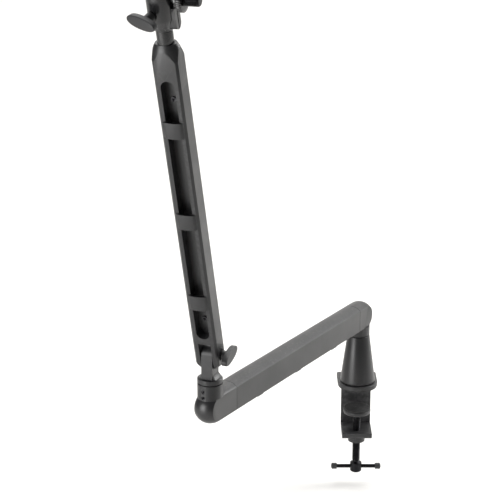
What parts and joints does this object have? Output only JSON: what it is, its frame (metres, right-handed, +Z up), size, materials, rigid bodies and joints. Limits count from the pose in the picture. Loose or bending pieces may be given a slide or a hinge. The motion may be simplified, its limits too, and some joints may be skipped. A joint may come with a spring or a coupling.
{
  "type": "microphone boom arm",
  "caption": "Low-profile desk-clamp boom arm: tapered riser, horizontal lower arm, tilting upper arm with cable channel and clips, and a ball head with a threaded microphone stud",
  "frame": {"origin": "where the vertical swivel axis of the lower arm meets the desk top, on the underside of the top jaw pad", "axes": "+Z up along the swivel axis, -Y forward over the desk towards the user, +X to the right; the clamp is straight in this frame and the arms are stored turned to the left"},
  "size_m": [0.3469, 0.5741, 0.841],
  "materials": {
    "satin_black_paint": "satin black powder coat on extruded aluminium",
    "clamp_black": "satin black powder coat on steel",
    "satin_black_cap": "satin black powder coat on cast aluminium",
    "moulded_black": "fine moulded grain",
    "head_black": "semi-gloss black coat",
    "dark_steel": "black oxide",
    "plain_steel": "turned",
    "brass_insert": "turned",
    "grip_rubber": "soft pad",
    "bearing_plastic": "smooth acetal",
    "washer_black": "smooth nylon"
  },
  "bodies": {
    "clamp": {"clamp_frame": "clamp_black", "top_jaw_pad": "grip_rubber", "riser_cone": "satin_black_cap", "riser_screws": "dark_steel", "swivel_shaft": "plain_steel", "shaft_bolt": "dark_steel", "riser_washer": "washer_black", "swivel_clip": "dark_steel"},
    "presser": {"pressure_plate": "clamp_black", "lower_jaw_pad": "grip_rubber"},
    "spindle": {"clamp_spindle": "dark_steel", "clamp_handle": "dark_steel", "handle_caps": "moulded_black"},
    "lower_arm": {"lower_arm_tube": "satin_black_paint", "rear_end_cap": "satin_black_cap", "front_end_cap": "satin_black_cap", "swivel_bush": "bearing_plastic", "elbow_bush": "bearing_plastic", "collar_grub_screws": "dark_steel", "lower_arm_screws": "dark_steel", "lower_cable_clips": "moulded_black"},
    "elbow": {"elbow_washer": "washer_black", "elbow_post": "satin_black_cap", "elbow_clip": "dark_steel", "friction_discs": "washer_black"},
    "upper_arm": {"upper_arm_tube": "satin_black_paint", "fork_end": "satin_black_cap", "upper_end_cap": "satin_black_cap", "channel_screws": "dark_steel", "upper_cable_clips": "moulded_black", "elbow_bolt": "dark_steel", "thrust_washer": "dark_steel", "head_stem": "head_black", "stem_grub_screw": "dark_steel", "head_clip": "dark_steel"},
    "elbow_knob": {"elbow_wing": "moulded_black", "elbow_wing_insert": "brass_insert"},
    "head": {"head_housing": "head_black", "ball_seat": "bearing_plastic"},
    "head_knob": {"head_wing": "moulded_black", "head_lock_screw": "dark_steel"},
    "ball": {"ball_and_flange": "head_black", "mic_stud": "dark_steel"},
    "stud_ring": {"lock_ring": "head_black"}
  },
  "joints": [
    {"name": "spindle_turn", "type": "hinge", "parent": "presser", "child": "spindle", "pos_m": [0, 0, -0.045], "axis": [0, 0, 1], "range_deg": [-3600, 5400]},
    {"name": "presser_travel", "type": "slide", "parent": "clamp", "child": "presser", "axis": [0, 0, 1], "range_m": [-0.02, 0.03]},
    {"name": "lower_swivel", "type": "hinge", "parent": "clamp", "child": "lower_arm", "pos_m": [0, 0, 0.1], "axis": [0, 0, 1], "range_deg": [-180, 180]},
    {"name": "elbow_swivel", "type": "hinge", "parent": "lower_arm", "child": "elbow", "pos_m": [-0.21882, -0.35849, 0.1497], "axis": [0, 0, 1], "range_deg": [-180, 180]},
    {"name": "upper_tilt", "type": "hinge", "parent": "elbow", "child": "upper_arm", "pos_m": [-0.21882, -0.35849, 0.1911], "axis": [0.9426, -0.3338, 0], "range_deg": [-105, 72]},
    {"name": "elbow_wing_turn", "type": "hinge", "parent": "upper_arm", "child": "elbow_knob", "pos_m": [-0.20327, -0.364, 0.1911], "axis": [0.9426, -0.3338, 0], "continuous": true},
    {"name": "head_swivel", "type": "hinge", "parent": "upper_arm", "child": "head", "pos_m": [-0.26561, -0.49062, 0.6439], "axis": [-0.0987, -0.2787, 0.9553], "continuous": true},
    {"name": "head_wing_turn", "type": "hinge", "parent": "head", "child": "head_knob", "pos_m": [-0.27855, -0.50853, 0.66037], "axis": [-0.6488, -0.7099, -0.2742], "continuous": true},
    {"name": "stud_tilt", "type": "hinge", "parent": "head", "child": "ball", "pos_m": [-0.26948, -0.50154, 0.68135], "axis": [-0.3189, -0.9005, -0.2957], "range_deg": [0, 112]},
    {"name": "lock_ring_turn", "type": "hinge", "parent": "ball", "child": "stud_ring", "pos_m": [-0.24497, -0.51022, 0.68135], "axis": [0.9426, -0.3338, 0], "continuous": true}
  ],
  "couplings": [
    {"joint": "spindle_turn", "follows": "presser_travel", "rad_per_m": 3141.6}
  ]
}
